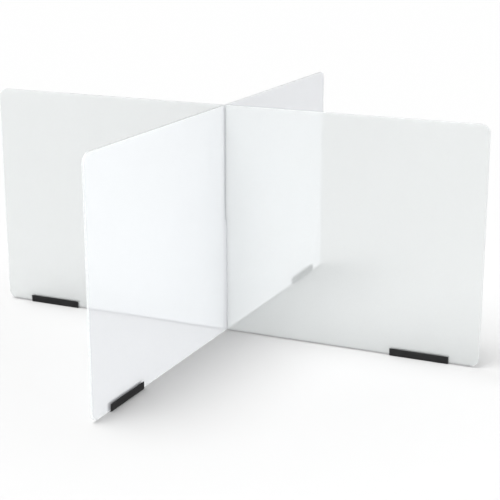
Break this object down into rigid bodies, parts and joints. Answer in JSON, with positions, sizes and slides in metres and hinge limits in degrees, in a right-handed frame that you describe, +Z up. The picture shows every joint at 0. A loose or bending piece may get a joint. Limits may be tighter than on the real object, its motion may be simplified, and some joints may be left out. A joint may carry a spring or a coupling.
{
  "type": "desk privacy panel",
  "caption": "Free-standing cross-shaped desk divider: frosted acrylic sheets that slot together at the middle, held upright on black push-on channel feet.",
  "frame": {"origin": "centre of the crossing, on the desk top that the feet stand on", "axes": "+Z up; +X along the upper panel, to the right; +Y along the lower panel, to the back"},
  "size_m": [1.3716, 1.3716, 0.6041],
  "materials": {
    "frosted_acrylic": "milky translucent acrylic with satin faces and polished edges",
    "black_channel": "matte black extruded plastic",
    "black_rubber": "matte black rubber"
  },
  "bodies": {
    "lower_panel": {"lower_panel": "frosted_acrylic"},
    "upper_panel": {"upper_panel": "frosted_acrylic"},
    "foot_front": {"foot_front_channel": "black_channel", "foot_front_grip_left": "black_rubber", "foot_front_grip_right": "black_rubber", "foot_front_pad": "black_rubber"},
    "foot_back": {"foot_back_channel": "black_channel", "foot_back_grip_left": "black_rubber", "foot_back_grip_right": "black_rubber", "foot_back_pad": "black_rubber"},
    "foot_left": {"foot_left_channel": "black_channel", "foot_left_grip_front": "black_rubber", "foot_left_grip_back": "black_rubber", "foot_left_pad": "black_rubber"},
    "foot_right": {"foot_right_channel": "black_channel", "foot_right_grip_front": "black_rubber", "foot_right_grip_back": "black_rubber", "foot_right_pad": "black_rubber"}
  },
  "joints": [
    {"name": "upper_panel_lift", "type": "slide", "parent": "lower_panel", "child": "upper_panel", "axis": [0, 0, 1], "range_m": [0, 0.612]},
    {"name": "foot_front_slide", "type": "slide", "parent": "lower_panel", "child": "foot_front", "axis": [0, -1, 0], "range_m": [-0.44, 0.05]},
    {"name": "foot_back_slide", "type": "slide", "parent": "lower_panel", "child": "foot_back", "axis": [0, 1, 0], "range_m": [-0.44, 0.05]},
    {"name": "foot_left_slide", "type": "slide", "parent": "upper_panel", "child": "foot_left", "axis": [-1, 0, 0], "range_m": [-0.44, 0.05]},
    {"name": "foot_right_slide", "type": "slide", "parent": "upper_panel", "child": "foot_right", "axis": [1, 0, 0], "range_m": [-0.44, 0.05]}
  ]
}
